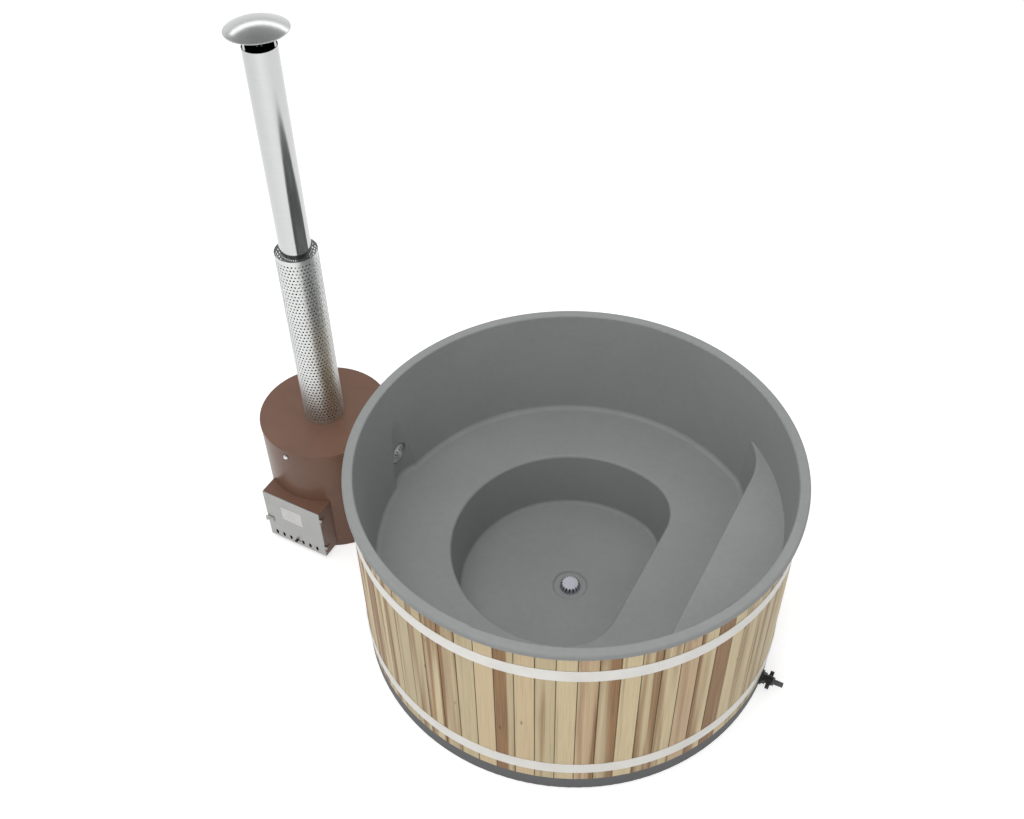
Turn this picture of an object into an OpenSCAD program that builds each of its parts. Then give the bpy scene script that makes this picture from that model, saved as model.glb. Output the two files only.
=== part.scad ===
// Round wood-fired hot tub: a moulded liner in a stave wall, and a stove with a flue beside it.
// The tub's axis is Z, the ground is z = 0, the stove stands at -X and its fire door faces -Y.
// The drain valve is at +X, on the side of the moulded step.

/* [Tub] */
// Outer diameter of the liner's rim
rim_d = 1900; // [1800:10:2000]
// Height of the rim above the ground
tub_h = 990; // [950:5:1050]
// Width of the flat rim
rim_w = 44; // [38:1:56]
// Depth of the rim's outer lip
rim_drop = 25; // [20:1:40]
// Thickness of the moulded liner
liner_t = 6; // [4:0.5:7]
// Draft of the liner's wall, in mm for every 100 mm of height
wall_draft = 8; // [5:1:10]
// Height of the bench
bench_h = 437; // [410:1:470]
// Height of the raised seat
seat_h = 720; // [680:5:760]
// Distance from the tub's axis to the front of the raised seat
seat_x = 625; // [610:5:640]
// Height of the floor in the foot well
floor_h = 140; // [136:1:170]
// Radius of the foot well at the bench
well_r = 534; // [500:2:560]
// Distance from the tub's axis to the straight side of the foot well
well_x = 334; // [310:2:350]
// Draft of the foot well's side, in mm for every 100 mm of height
well_draft = 10; // [8:1:12]
// Radius of the upright pocket that holds the return fitting
pocket_r = 130; // [110:2:150]
// Distance from the back of the pocket to the rim's inner edge
pocket_inset = 16; // [11:1:22]
// Distance from the rim to the top of the pocket
pocket_drop = 190; // [160:5:230]

/* [Stave wall] */
// Number of staves
stave_count = 74; // [60:1:90]
// Thickness of a stave
board_t = 18; // [15:0.5:21]
// Gap between two staves
board_gap = 0.8; // [0.4:0.1:1.5]
// Chamfer on a stave's outer edges
board_chamfer = 2.4; // [1:0.2:4]
// Height of the staves' lower ends above the ground
board_z = 81; // [76:1:90]
// Width of a hoop
hoop_w = 64; // [40:1:70]
// Thickness of a hoop
hoop_t = 2; // [1.5:0.1:3]
// Height of the lower hoop's lower edge
low_hoop_z = 136; // [130:1:150]
// Distance from the rim's top to the upper hoop's lower edge
high_hoop_drop = 186; // [150:1:230]

/* [Base] */
// Thickness of the base pan's floor and skirt
pan_t = 5; // [4:0.5:7]
// Thickness of the deck under the liner
deck_t = 18; // [15:1:24]
// Width of a bearer
bearer_w = 95; // [70:5:120]
// Distance of the inner bearers from the tub's axis
bearer_y = 210; // [180:5:240]
// Distance between an inner and an outer bearer
bearer_step = 350; // [320:5:370]
// Thickness of the ribs under the bench
rib_t = 18; // [12:1:24]
// Distance between the ribs under the raised seat
rib_pitch = 200; // [180:5:220]

/* [Drain] */
// Height of the drain line's axis
drain_z = 50; // [48:1:52]
// Outer radius of the drain pipe
drain_pipe_r = 20; // [16:1:24]
// Radius of the dish around the drain
dish_r = 83; // [70:1:95]
// Depth of the dish
dish_depth = 8; // [5:0.5:9]
// Radius of the strainer
strainer_r = 48; // [44:1:60]
// Height of the strainer's skirt
strainer_h = 20; // [12:1:26]
// Radius of the valve's flange
valve_flange_r = 34; // [30:1:42]
// Distance from the valve's axis to the middle of a wing's lobe
wing_reach = 28; // [26:1:30]
// Radius of a wing's lobe
lobe_r = 18; // [12:1:19]
// Outer radius of the hose tail
tail_r = 12; // [10:0.5:13]

/* [Water connections] */
// Height of the return fitting's axis
return_z = 590; // [560:2:592]
// Radius of the return fitting's flange
fitting_r = 48; // [40:1:52]
// Outer radius of the water pipes
water_r = 25; // [20:1:28]
// Wall of the rubber hoses
hose_t = 5; // [4:0.5:7]

/* [Stove] */
// Gap between the tub's wall and the stove
stove_gap = 88.7; // [80:0.1:110]
// Sideways place of the stove's axis
stove_y = 45; // [30:1:50]
// Outer radius of the stove's jacket
jacket_r = 302; // [290:1:320]
// Height of the stove
stove_h = 632; // [625:1:680]
// Thickness of the jacket's sheet
jacket_t = 2; // [1.5:0.5:3]
// Outer radius of the water vessel
vessel_r = 262; // [250:1:275]
// Outer radius of the firebox
firebox_r = 200; // [180:1:215]
// Thickness of the vessel's and firebox's plate
plate_t = 3; // [2:0.5:4]
// Height of the fire grate
grate_h = 100; // [90:2:120]

/* [Fire door] */
// Width of the stoke box and its door
door_w = 323; // [300:1:340]
// Lower edge of the door
door_z = 24; // [20:1:28]
// Height of the door
door_h = 307; // [290:1:330]
// Distance from the stove's axis to the door's face
door_y = 354; // [345:1:380]
// Thickness of the door
door_t = 4; // [3:0.5:5]
// Half the width of the throat behind the door
throat_x = 120; // [110:1:130]
// Top of the throat
throat_top = 270; // [250:1:285]
// Width of an air hole
air_hole_w = 14; // [10:1:16]
// Height of an air hole
air_hole_h = 28; // [20:1:30]
// Distance between air holes
air_pitch = 41; // [38:1:42]
// Distance from the knob to the nearest air hole on each side
air_first = 36; // [35:1:38]
// Height of the air holes' middle
air_z = 55; // [52:1:58]
// Sideways place of the slider's knob
knob_x = -5; // [-8:1:4]
// Width of the blank plate on the door
label_w = 118; // [90:2:140]
// Height of the blank plate
label_h = 90; // [60:2:100]
// Distance from the door's lower edge to the blank plate
label_up = 156; // [150:2:170]
// Sideways place of the blank plate
label_x = -8; // [-20:1:10]
// Height of the door's handle
handle_h = 30; // [20:1:40]
// Distance from the door's lower edge to the handle
handle_up = 107; // [90:1:130]

/* [Flue] */
// Outer radius of the flue pipe
flue_r = 67.3; // [60:0.1:75]
// Thickness of the flue's sheet
flue_t = 1; // [0.8:0.1:1.5]
// Height of the flue's top above the ground
flue_top = 2478; // [2200:2:2700]
// Height of the joint between the two flue pipes
flue_joint = 1340; // [1200:10:1450]
// Outer radius of the heat guard
guard_r = 92; // [86:0.5:100]
// Height of the heat guard's top above the ground
guard_top = 1570; // [1500:5:1700]
// Thickness of the heat guard's sheet
guard_t = 1; // [0.8:0.1:1.5]
// Columns of holes round the heat guard
guard_columns = 16; // [12:2:18]
// Distance between rows of holes in the heat guard
guard_pitch = 38; // [36:1:50]
// Radius of a hole in the heat guard
guard_hole_r = 8; // [4:0.5:9]
// Radius of the rain cap
cap_r = 122; // [110:1:135]
// Height of the rain cap's dome
cap_dome = 36; // [30:1:50]
// Gap between the flue's top and the rain cap's rim
cap_gap = 62; // [55:1:80]

/* [Hidden] */
$fn = 96;

// Clearances: between seated pieces, round a turning pin, and the overshoot of a cut
seat_gap = 0.3;
pin_gap = 0.05;
cut = 5;

// Tub, from its rim inwards
rim_r = rim_d / 2;
rim_in_r = rim_r - rim_w;
rim_edge_r = 10;
rim_inner_edge_r = 8;
bench_fillet_r = 24;
floor_fillet_r = 20;
seat_edge_r = 12;
bench_edge_r = 15;
pocket_top = tub_h - pocket_drop;
pocket_x = rim_in_r - pocket_inset;
corner_run = 8;
seat_recess = 6;
board_in = rim_in_r + liner_t + seat_gap;
board_out = board_in + board_t;
half_step = 180 / stave_count;
board_corner_r = board_out / cos(half_step);
board_top = tub_h - liner_t - seat_gap;
hoop_r = board_corner_r + 0.2;
high_hoop_z = tub_h - high_hoop_drop;
hoop_gap_at = 100;
hoop_gap = 26;

// Base, from the liner's floor down
deck_top = floor_h - liner_t;
deck_z = deck_top - deck_t;
pan_r = board_out - 1;
ledge_w = 26;
bearer_h = deck_z - pan_t;
side_bearer_y = bearer_y + bearer_step;

// Drain line
dish_z = floor_h - dish_depth;
drain_flange_t = 3;
drain_flange_r = strainer_r - 11;
drain_bore_r = drain_pipe_r - 5;
drain_tube_r = drain_pipe_r + 4;
drain_tail_r = drain_pipe_r - 3 - seat_gap;
drain_tail_z = dish_z - 40;
tee_reach = 60;
tee_socket = 28;
valve_x = board_corner_r + seat_gap;
valve_flange_t = 8;
valve_neck_r = drain_pipe_r + 4;
barrel_r = drain_pipe_r;
barrel_l = 52;
wing_x = valve_x + 38;
wing_t = 18;
tail_bore_r = tail_r - 2.5;
tail_l = 46;

// Water connections
fitting_bore_r = water_r - 3;
barrel_wall_r = water_r + 3;
return_seat_x = pocket_x + 3;
water_lines = [return_z, drain_z];
nut_t = 14;
nut_r = barrel_wall_r + 8;
nut_out_x = board_corner_r + nut_t;
hose_near_x = nut_out_x + 3;
hose_l = board_out + stove_gap - hose_near_x - 5;
hose_grip = (hose_l - 6) / 2;
tail_end_x = hose_near_x + hose_grip;

// Stove, on its own axis
stove_x = -(board_out + stove_gap + jacket_r);
lid_t = 3;
lid_skirt = 20;
vessel_z = 14;
vessel_top = stove_h - 14;
firebox_z = vessel_z + 18;
firebox_top = vessel_top - 58;
neck_r = flue_r - flue_t - seat_gap;
neck_top = stove_h + 60;
throat_z = firebox_z + 6;
frame_back = 17;
frame_y = door_y - frame_back;
box_t = 2;
slider_travel = 20;
slider_t = 2;
hinge_r = 5.5;
hinge_pin_r = 3;
hinge_x = door_w / 2 + hinge_r + 0.5;
hinge_y = -(door_y - 3);
knuckle_h = 18;

// Flue
guard_z = stove_h;
socket_l = 45;
collar_t = 5;
collar_r = guard_r - guard_t - 3;
cap_z = flue_top + cap_gap;
dome_r = (cap_r * cap_r + cap_dome * cap_dome) / (2 * cap_dome);
dome_z = cap_z + cap_dome - dome_r;
bracket_r = flue_r - flue_t - seat_gap;
strap_w = 14;
strap_t = 1.5;

function wall_r(z) = rim_in_r - (tub_h - z) * wall_draft / 100;

// Tools for outlines and patterns

// Puts its children on the stove's axis
module on_stove() {
    translate([stove_x, stove_y, 0]) children();
}

// Lays its children's Z axis along X, from x outwards
module along_x(x, z) {
    translate([x, 0, z]) rotate([0, 90, 0]) children();
}

// A tube with its lower end at the origin
module tube(h, r, bore) {
    difference() {
        cylinder(h = h, r = r);
        translate([0, 0, -cut]) cylinder(h = h + 2 * cut, r = bore);
    }
}

// A rectangular plate with upright edges, centred on x
module plate(w, y0, y1, z0, z1) {
    translate([-w / 2, y0, z0]) cube([w, y1 - y0, z1 - z0]);
}

// The corner left over between a wall of this draft, a level face at z and a circle that
// touches both. The circle is a hair larger, so that it crosses the two lines cleanly.
module corner_left(x, z, r, draft) {
    a = atan(draft);
    dx = corner_dx(r, draft);
    translate([x - dx, z + r]) difference() {
        scale(1.2) polygon([[0, 0], [0, -r], [dx, -r], [r * cos(a), -r * sin(a)]]);
        circle(r = r + 0.05);
    }
}

// Distance from the corner to the middle of its circle, to two decimals
function corner_dx(r, draft) = round(100 * r * (1 - sin(atan(draft))) / cos(atan(draft))) / 100;

// The corner turned round, for the rounding of a raised edge
module edge_left(x, z, r, draft) {
    translate([2 * x, 2 * z]) rotate(180) corner_left(x, z, r, draft);
}

// Half the outline of a hollow: level bottom with a fillet, sloping side up to z1, and past
// it by over. With edge_r the side's upper edge is rounded.
module hollow_profile(x0, x_top, z0, z1, draft, fillet_r, edge_r, over) {
    x_low = x_top - (z1 - z0) * draft;
    difference() {
        polygon([[x0, z0], [x_low, z0], [x_top + over * draft, z1 + over], [x0, z1 + over]]);
        corner_left(x_low, z0, fillet_r, draft);
    }
    if (edge_r > 0) {
        edge_left(x_top, z1, edge_r, draft);
    }
}

// Whole-number right triangles, whose longer side is 25 more than the shorter one. They
// place the corners of a D so that its round back, corners and straight front meet exactly.
well_triangle = [12, 35, 37];
seat_triangle = [28, 45, 53];

// The part of its children's upright space that lies in one corner of a D
module d_corner(cx, cy, side, z0, z1) {
    far = 2 * rim_r;
    intersection() {
        translate([cx, side * cy, 0]) rotate_extrude() children();
        translate([0, 0, z0]) linear_extrude(z1 - z0)
            polygon([[cx, side * cy], [3 * cx, side * 3 * cy], [far, side * 3 * cy], [far, side * cy]]);
    }
}

// A round hollow with one straight side towards +X and two rounded corners there. All
// its sides have one draft, so each corner is a cone about an upright axis.
module d_hollow(r, x, triangle, z0, z1, draft, fillet_r, edge_r, over) {
    k = (r - x) / 25;
    cx = k * triangle[0];
    cy = k * triangle[1];
    shift = k * triangle[2];
    low = z0 - cut;
    high = z1 + 4 * cut;
    far = 2 * rim_r;
    difference() {
        rotate_extrude() hollow_profile(0, r, z0, z1, draft, fillet_r, edge_r, over);
        translate([0, 0, low]) linear_extrude(high - low)
            polygon([[0, 0], [3 * cx, 3 * cy], [far, 3 * cy], [far, -3 * cy], [3 * cx, -3 * cy]]);
    }
    for (side = [-1, 1]) {
        d_corner(cx, cy, side, low, high)
            hollow_profile(0, r - shift, z0, z1, draft, fillet_r, edge_r, over);
    }
    translate([0, cy, 0]) rotate([90, 0, 0]) linear_extrude(2 * cy)
        hollow_profile(cx, x, z0, z1, draft, fillet_r, edge_r, over);
    translate([0, 0, z0]) linear_extrude(z1 + over - z0) polygon([[0, 0], [cx, cy], [cx, -cy]]);
}

// The hollow in front of the raised seat: a round hollow of radius r, cut off by the seat's
// front at x. The front's corners are cones that run out through the wall, so that the
// seat's tips end at an angle.
module seat_hollow(r, x, z0, z1, draft, fillet_r) {
    k = (r + corner_run - x) / 25;
    cx = k * seat_triangle[0];
    cy = k * seat_triangle[1];
    far = 2 * rim_r;
    intersection() {
        rotate_extrude() hollow_profile(0, r, z0, z1, draft, fillet_r, 0, 0);
        union() {
            translate([0, 0, z0]) linear_extrude(z1 - z0) polygon([
                [cx, cy], [3 * cx, 3 * cy], [3 * cx, far], [-far, far],
                [-far, -far], [3 * cx, -far], [3 * cx, -3 * cy], [cx, -cy]
            ]);
            for (side = [-1, 1]) {
                d_corner(cx, cy, side, z0 - cut, z1)
                    hollow_profile(0, r + corner_run - k * seat_triangle[2], z0, z1, draft, fillet_r, 0, 0);
            }
            translate([0, cy, 0]) rotate([90, 0, 0]) linear_extrude(2 * cy)
                hollow_profile(cx, x, z0, z1, draft, fillet_r, 0, 0);
        }
    }
}

// The rounded front edge of the raised seat, from wall to wall
module seat_edge(r, x, z, draft, edge_r) {
    k = (r + corner_run - x) / 25;
    cx = k * seat_triangle[0];
    cy = k * seat_triangle[1];
    low = z - 20;
    high = z + 20;
    intersection() {
        union() {
            for (side = [-1, 1]) {
                d_corner(cx, cy, side, low, high)
                    edge_left(r + corner_run - k * seat_triangle[2], z, edge_r, draft);
            }
            translate([0, cy, 0]) rotate([90, 0, 0]) linear_extrude(2 * cy)
                edge_left(x, z, edge_r, draft);
        }
        rotate_extrude() polygon([[0, low], [r - 20 * draft, low], [r + 20 * draft, high], [0, high]]);
    }
}

// The space that the water fills, grown by g all round
module bath_form(g) {
    wall = wall_draft / 100;
    well = well_draft / 100;
    bench_edge = max(bench_edge_r - g, 2);
    seat_r = wall_r(seat_h - g) + g;
    rotate_extrude() polygon([[0, seat_h - g], [seat_r, seat_h - g],
        [wall_r(tub_h + cut) + g, tub_h + cut], [0, tub_h + cut]]);
    seat_hollow(seat_r, seat_x + g, bench_h - g, seat_h - g, wall, bench_fillet_r + g);
    seat_edge(seat_r, seat_x + g, seat_h - g, wall, seat_edge_r);
    d_hollow(well_r + g, well_x + g, well_triangle, floor_h - g, bench_h - g, well,
        floor_fillet_r + g, bench_edge, cut);
    translate([pocket_r - pocket_x, 0, 0]) rotate_extrude()
        hollow_profile(0, pocket_r + g, bench_h - g, pocket_top, 0, bench_fillet_r + g, 0, 0);
    along_x(-return_seat_x - g, return_z) cylinder(h = pocket_r, r = fitting_r + seat_recess + g);
    translate([0, 0, dish_z - g]) cylinder(h = dish_depth + g + 1, r1 = dish_r + g - 10, r2 = dish_r + g);
}

// Tub

module rim_ring() {
    z0 = tub_h - rim_drop;
    in_r = rim_r - liner_t;
    in_edge = rim_edge_r - liner_t;
    rotate_extrude() difference() {
        union() {
            translate([rim_in_r, z0]) square([rim_w - rim_edge_r, rim_drop]);
            translate([rim_in_r, z0]) square([rim_w, rim_drop - rim_edge_r]);
            translate([rim_r - rim_edge_r, tub_h - rim_edge_r]) circle(r = rim_edge_r);
        }
        translate([rim_in_r - cut, z0 - cut])
            square([in_r - in_edge - rim_in_r + cut, rim_drop - liner_t + cut]);
        translate([rim_in_r - cut, z0 - cut])
            square([in_r - rim_in_r + cut, rim_drop - liner_t - in_edge + cut]);
        translate([in_r - in_edge, tub_h - liner_t - in_edge]) circle(r = in_edge);
    }
}

module liner() {
    edge_x = rim_in_r + rim_inner_edge_r;
    color("dimgray") difference() {
        union() {
            intersection() {
                bath_form(liner_t);
                cylinder(h = tub_h - 0.5, r = rim_r);
            }
            rim_ring();
        }
        bath_form(0);
        rotate_extrude() difference() {
            translate([rim_in_r - rim_inner_edge_r, tub_h - rim_inner_edge_r])
                square([2 * rim_inner_edge_r, rim_inner_edge_r + cut]);
            translate([edge_x, tub_h - rim_inner_edge_r]) circle(r = rim_inner_edge_r);
        }
        translate([0, 0, dish_z - liner_t - cut])
            cylinder(h = liner_t + 2 * cut, r = drain_tube_r + seat_gap);
        along_x(-return_seat_x - liner_t - cut, return_z)
            cylinder(h = liner_t + 2 * cut, r = barrel_wall_r + seat_gap);
    }
}

// One stave's section, with its outer face towards +X, a tongue and a groove
module stave_section() {
    out_y = board_out * tan(half_step) - board_gap / 2;
    in_y = board_in * tan(half_step) - board_gap / 2;
    slope = (out_y - in_y) / board_t;
    mid_x = board_in + board_t / 2;
    mid_y = in_y + slope * board_t / 2;
    tongue = 2;
    tongue_l = 4;
    polygon([
        [board_in, -in_y], [mid_x - tongue - 0.3, slope * (-tongue - 0.3) - mid_y],
        [mid_x - tongue - 0.3, tongue_l + 0.5 - mid_y], [mid_x + tongue + 0.3, tongue_l + 0.5 - mid_y],
        [mid_x + tongue + 0.3, slope * (-tongue - 0.3) - mid_y],
        [board_out - board_chamfer, board_chamfer * slope - out_y],
        [board_out, board_chamfer - out_y], [board_out, out_y - board_chamfer],
        [board_out - board_chamfer, out_y - board_chamfer * slope],
        [mid_x + tongue, mid_y + slope * tongue], [mid_x + tongue, mid_y + tongue_l],
        [mid_x - tongue, mid_y + tongue_l], [mid_x - tongue, mid_y - slope * tongue],
        [board_in, in_y]
    ]);
}

// Angles of the plain staves, or of the ones behind the return fitting
function stave_angles(at_inlet) = [for (i = [0 : stave_count - 1]) let (a = (2 * i + 1) * half_step)
    if ((abs(a - 180) < 2.1 * half_step) == at_inlet) a];

module stave(a) {
    rotate(a) translate([0, 0, board_z]) linear_extrude(board_top - board_z) stave_section();
}

module wall_staves() {
    color("burlywood") for (a = stave_angles(false)) {
        stave(a);
    }
}

// The staves that are bored for the return fitting
module inlet_staves() {
    color("burlywood") for (a = stave_angles(true)) {
        difference() {
            stave(a);
            along_x(-board_out - cut, return_z)
                cylinder(h = board_t + 2 * cut, r = barrel_wall_r + seat_gap);
        }
    }
}

// A flat hoop, open at the back, with an upright lug on each side of the gap
module hoop(z) {
    lug_t = 5;
    lug_l = 34;
    translate([0, 0, z]) difference() {
        union() {
            difference() {
                tube(hoop_w, hoop_r + hoop_t, hoop_r);
                rotate(hoop_gap_at) translate([hoop_r - 10, -hoop_gap / 2, -cut])
                    cube([20, hoop_gap, hoop_w + 2 * cut]);
            }
            for (y = [-hoop_gap / 2 - lug_t, hoop_gap / 2]) {
                rotate(hoop_gap_at) translate([hoop_r + 0.3, y, 0]) cube([lug_l, lug_t, hoop_w]);
            }
        }
        hoop_bolt_line() cylinder(h = 120, r = 5 + seat_gap, center = true);
    }
}

// Lays its children's Z axis along the hoop's bolt
module hoop_bolt_line() {
    rotate(hoop_gap_at) translate([hoop_r + 21, 0, hoop_w / 2]) rotate([90, 0, 0]) children();
}

module upper_hoop() {
    color("whitesmoke") hoop(high_hoop_z);
}

module lower_hoop() {
    color("whitesmoke") hoop(low_hoop_z);
}

// One bolt and nut for each hoop, drawn up on the lugs
module hoop_bolts() {
    grip = hoop_gap + 2 * 5 + 0.2;
    color("silver") for (z = [low_hoop_z, high_hoop_z]) {
        translate([0, 0, z]) hoop_bolt_line() {
            translate([0, 0, -grip / 2 - 6.4]) cylinder(h = 6.4, r = 9.2, $fn = 6);
            translate([0, 0, -grip / 2]) cylinder(h = grip + 14, r = 5);
            translate([0, 0, grip / 2]) difference() {
                cylinder(h = 8, r = 9.2, $fn = 6);
                translate([0, 0, -1]) cylinder(h = 10, r = 5 + pin_gap);
            }
        }
    }
}

// Base

module base_pan() {
    foot_r = 8;
    color("#55565a") difference() {
        rotate_extrude() difference() {
            union() {
                square([pan_r - foot_r, board_z]);
                translate([0, foot_r]) square([pan_r, board_z - foot_r]);
                translate([pan_r - foot_r, foot_r]) circle(r = foot_r);
            }
            translate([-cut, pan_t]) square([pan_r - ledge_w + cut, board_z]);
            translate([0, pan_t]) square([pan_r - pan_t, board_z - 2 * pan_t]);
        }
        along_x(pan_r - ledge_w - cut, drain_z)
            cylinder(h = ledge_w + 2 * cut, r = valve_neck_r + seat_gap);
        along_x(-pan_r - cut, drain_z) cylinder(h = ledge_w + 2 * cut, r = water_r + seat_gap);
    }
}

module floor_bearers() {
    reach = pan_r - ledge_w - 2;
    color("tan") for (y = [-side_bearer_y, -bearer_y, bearer_y, side_bearer_y]) {
        half_l = sqrt(pow(reach, 2) - pow(abs(y) + bearer_w / 2, 2));
        translate([-half_l, y - bearer_w / 2, pan_t]) cube([2 * half_l, bearer_w, bearer_h]);
    }
}

module floor_deck() {
    color("peru") translate([0, 0, deck_z]) tube(deck_t, board_in - seat_gap, dish_r + 12);
}

// Upright plywood ribs on the deck: radial ones carry the bench, straight ones the raised seat
module bench_ribs() {
    well_clear = well_r + liner_t + bench_edge_r;
    bench_reach = wall_r(bench_h) - bench_fillet_r - 2;
    seat_front = seat_x + liner_t + seat_edge_r;
    seat_reach = wall_r(seat_h) - 2;
    color("tan") {
        for (a = [72, 98, 126, 154, 206, 234, 262, 288]) {
            rotate(a) translate([well_clear, -rib_t / 2, deck_top])
                cube([bench_reach - well_clear, rib_t, bench_h - liner_t - seat_gap - deck_top]);
        }
        for (y = [-1.5, -0.5, 0.5, 1.5] * rib_pitch) {
            half_l = sqrt(pow(seat_reach, 2) - pow(abs(y) + rib_t / 2, 2));
            translate([seat_front, y - rib_t / 2, deck_top])
                cube([half_l - seat_front, rib_t, seat_h - liner_t - seat_gap - deck_top]);
        }
    }
}

// Drain

// A round cover whose tapered skirt stands in the dish, parted into petals by upright slots
module drain_strainer() {
    top_t = 2.5;
    skirt_in = 6;
    slots = 16;
    color("lightgray") translate([0, 0, dish_z + seat_gap]) {
        difference() {
            union() {
                cylinder(h = strainer_h, r1 = strainer_r, r2 = strainer_r - skirt_in);
                translate([0, 0, strainer_h])
                    cylinder(h = top_t, r1 = strainer_r - skirt_in, r2 = strainer_r - skirt_in - 4);
            }
            translate([0, 0, -0.01])
                cylinder(h = strainer_h, r1 = strainer_r - 2.5, r2 = strainer_r - 2.5 - skirt_in);
            for (i = [0 : slots - 1]) {
                rotate(i * 360 / slots) translate([strainer_r - 14, -3, 3])
                    cube([20, 6, strainer_h + top_t]);
            }
        }
        // A pin with three fins keeps it centred in the drain
        translate([0, 0, -14]) cylinder(h = strainer_h + 14.5, r = 4);
        for (i = [0 : 2]) {
            rotate(i * 120) translate([2, -1.5, -12])
                cube([drain_bore_r - seat_gap - 2, 3, strainer_h + 12.5]);
        }
    }
}

module drain_body() {
    color("gainsboro") translate([0, 0, drain_tail_z]) difference() {
        union() {
            cylinder(h = dish_z - drain_tail_z, r = drain_tail_r);
            translate([0, 0, 16]) cylinder(h = dish_z - drain_tail_z - 16, r = drain_tube_r);
            translate([0, 0, dish_z - drain_tail_z]) cylinder(h = drain_flange_t, r = drain_flange_r);
        }
        translate([0, 0, -cut]) cylinder(h = 80, r = drain_bore_r);
    }
}

module drain_nut() {
    z1 = dish_z - liner_t;
    color("dimgray") translate([0, 0, z1 - 12]) difference() {
        cylinder(h = 12, r = drain_flange_r - 4, $fn = 8);
        translate([0, 0, -1]) cylinder(h = 14, r = drain_tube_r + seat_gap);
    }
}

// Tee under the drain, with a wider socket for the stove's suction pipe and one for the valve
module drain_tee() {
    bore = drain_pipe_r - 3;
    color("gray") difference() {
        union() {
            translate([0, 0, drain_z]) cylinder(h = drain_tail_z + 15 - drain_z, r = drain_pipe_r + 4);
            along_x(-tee_reach, drain_z) cylinder(h = tee_reach, r = water_r + 4);
            along_x(0, drain_z) cylinder(h = tee_reach, r = drain_pipe_r + 4);
        }
        translate([0, 0, drain_z]) cylinder(h = drain_tail_z + 15 + cut - drain_z, r = bore);
        along_x(-tee_reach - cut, drain_z) cylinder(h = 2 * tee_reach + 2 * cut, r = bore);
        along_x(-tee_reach - cut, drain_z) cylinder(h = tee_socket + cut, r = water_r + pin_gap);
        along_x(tee_reach - tee_socket, drain_z)
            cylinder(h = tee_socket + cut, r = drain_pipe_r + pin_gap);
    }
}

// The pipe runs from the tee to the valve under the deck
module drain_pipe() {
    x0 = tee_reach - tee_socket + 1;
    color("gray") along_x(x0, drain_z)
        tube(pan_r - ledge_w - nut_t - 5 - x0, drain_pipe_r, drain_pipe_r - 3);
}

// The stove draws its water from the tee, through the base's skirt
module suction_pipe() {
    color("gray") along_x(-tail_end_x, drain_z)
        tube(tail_end_x - tee_reach + tee_socket - 1, water_r, fitting_bore_r);
}

module valve_body() {
    neck_x = pan_r - ledge_w - nut_t - 3;
    color("#1b1b1c") difference() {
        union() {
            along_x(neck_x, drain_z) cylinder(h = valve_x - neck_x, r = valve_neck_r);
            along_x(valve_x, drain_z) cylinder(h = valve_flange_t - 2, r = valve_flange_r);
            along_x(valve_x + valve_flange_t - 2, drain_z)
                cylinder(h = 2, r1 = valve_flange_r, r2 = valve_flange_r - 2);
            along_x(valve_x + valve_flange_t, drain_z) cylinder(h = 14, r = barrel_r + 6, $fn = 6);
            along_x(valve_x, drain_z) cylinder(h = barrel_l, r = barrel_r);
        }
        along_x(neck_x - cut, drain_z) cylinder(h = 26 + cut, r = drain_pipe_r - 3);
        along_x(neck_x, drain_z) cylinder(h = valve_x + barrel_l - neck_x, r = tail_bore_r);
        along_x(valve_x + barrel_l - 12, drain_z) cylinder(h = 20, r = tail_r + 2 + pin_gap);
    }
}

// A ring that turns on the valve's barrel, with two rounded wings
module valve_wing() {
    ring_r = barrel_r + 4;
    web_w = lobe_r * 1.3;
    color("#1b1b1c") along_x(wing_x - wing_t / 2, drain_z) difference() {
        union() {
            cylinder(h = wing_t, r = ring_r);
            translate([-web_w / 2, -wing_reach, 2]) cube([web_w, 2 * wing_reach, wing_t - 4]);
            for (side = [-1, 1]) {
                translate([0, side * wing_reach, 1]) cylinder(h = wing_t - 2, r = lobe_r);
            }
        }
        translate([0, 0, -cut]) cylinder(h = wing_t + 2 * cut, r = barrel_r + pin_gap);
    }
}

module hose_tail() {
    x0 = valve_x + barrel_l;
    color("#3b3d3e") difference() {
        union() {
            along_x(x0 - 11, drain_z) cylinder(h = 12, r = tail_r + 2);
            along_x(x0 + seat_gap, drain_z) cylinder(h = 7, r = barrel_r - 1, $fn = 6);
            along_x(x0, drain_z) cylinder(h = tail_l - 16, r = tail_r);
            along_x(x0, drain_z) cylinder(h = tail_l, r = tail_r - 1.2);
            for (i = [0 : 1]) {
                along_x(x0 + tail_l - 8 - 8 * i, drain_z) cylinder(h = 7, r1 = tail_r, r2 = tail_r - 1.2);
            }
        }
        along_x(x0 - 20, drain_z) cylinder(h = tail_l + 40, r = tail_bore_r);
    }
}

// Water connections

// Flange inside the liner and a barrel out through the stave wall, from x inside
module wall_fitting(x, z) {
    color("silver") difference() {
        union() {
            along_x(-x, z) cylinder(h = 4, r = fitting_r);
            along_x(4 - x, z) cylinder(h = 2, r1 = fitting_r, r2 = fitting_r - 4);
            along_x(-nut_out_x, z) cylinder(h = nut_out_x - x + 1, r = barrel_wall_r);
            along_x(-tail_end_x, z) cylinder(h = tail_end_x - x, r = water_r);
        }
        along_x(-tail_end_x - cut, z) cylinder(h = tail_end_x - x + 3 * cut, r = fitting_bore_r);
        along_x(3 - x, z) cylinder(h = 20, r = fitting_r - 9);
    }
}

// Raised round grille, parted into petals by slots, held in a fitting's flange
module wall_grille(x, z) {
    slots = 12;
    slot_in = 15;
    rise = 10;
    r = fitting_r - 9 - seat_gap;
    color("gainsboro") along_x(3 + seat_gap - x, z) difference() {
        union() {
            cylinder(h = 4, r = r);
            translate([0, 0, 4]) cylinder(h = rise, r1 = r, r2 = r - 16);
            translate([0, 0, 4 + rise]) cylinder(h = 2, r1 = slot_in - 2, r2 = slot_in - 5);
        }
        for (i = [0 : slots - 1]) {
            rotate(i * 360 / slots) translate([slot_in, -2.2, -1]) cube([r - slot_in - 4, 4.4, rise + 8]);
        }
    }
}

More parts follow.
